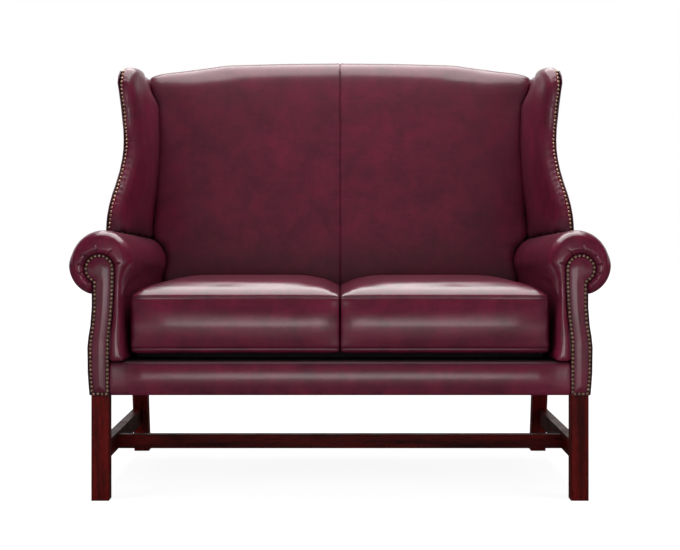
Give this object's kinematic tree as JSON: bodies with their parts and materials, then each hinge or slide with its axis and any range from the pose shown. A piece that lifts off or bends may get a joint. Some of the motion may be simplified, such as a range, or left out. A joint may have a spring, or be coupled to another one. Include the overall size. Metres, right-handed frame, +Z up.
{
  "type": "high back settee",
  "caption": "High back wing settee with scroll arms, loose crowned seat cushions, square legs and an H-stretcher, in dark leather with nailed edges.",
  "frame": {"origin": "centre of the footprint on the floor", "axes": "+Z up, +X to the right as seen from the front, +Y to the back"},
  "size_m": [1.3696, 0.8346, 1.187],
  "materials": {
    "mahogany": "dark polished mahogany",
    "beech": "plain sawn beech",
    "leather": "antiqued burgundy leather, hand-rubbed, half gloss",
    "webbing": "woven elastic webbing",
    "deck_cloth": "black lining cloth",
    "felt": "grey needled felt",
    "nail_brass": "antique brass nail heads, tarnished"
  },
  "bodies": {
    "settee": {"front_leg_right": "mahogany", "front_leg_left": "mahogany", "back_post_right": "mahogany", "back_post_left": "mahogany", "side_stretcher_right": "mahogany", "side_stretcher_left": "mahogany", "cross_stretcher": "mahogany", "front_seat_rail": "beech", "back_seat_rail": "beech", "side_seat_rail_right": "beech", "side_seat_rail_left": "beech", "centre_seat_rail": "beech", "front_corner_block_right": "beech", "front_corner_block_left": "beech", "back_corner_block_right": "beech", "back_corner_block_left": "beech", "arm_stump_right": "beech", "arm_stump_left": "beech", "arm_rail_right": "beech", "arm_rail_left": "beech", "arm_tack_rail_right": "beech", "arm_tack_rail_left": "beech", "wing_post_right": "beech", "wing_post_left": "beech", "wing_top_rail_right": "beech", "wing_top_rail_left": "beech", "crest_rail": "beech", "lower_back_rail": "beech", "back_upright": "beech", "arm_pad_right": "leather", "arm_pad_left": "leather", "arm_facing_right": "leather", "arm_facing_left": "leather", "outside_arm_panel_right": "leather", "outside_arm_panel_left": "leather", "wing_pad_right": "leather", "wing_pad_left": "leather", "outside_wing_panel_right": "leather", "outside_wing_panel_left": "leather", "inside_back": "leather", "outside_back_panel": "leather", "rail_cover": "leather", "seat_webbing": "webbing", "back_webbing": "webbing", "seat_deck": "deck_cloth", "dust_cover": "deck_cloth", "deck_pad": "felt"},
    "cushion_left": {"seat_cushion_left": "leather"},
    "cushion_right": {"seat_cushion_right": "leather"}
  },
  "joints": [
    {"name": "cushion_left_pull", "type": "slide", "parent": "settee", "child": "cushion_left", "axis": [0, -0.9781, 0.2079], "range_m": [0, 0.6]},
    {"name": "cushion_right_pull", "type": "slide", "parent": "settee", "child": "cushion_right", "axis": [0, -0.9781, 0.2079], "range_m": [0, 0.6]}
  ]
}
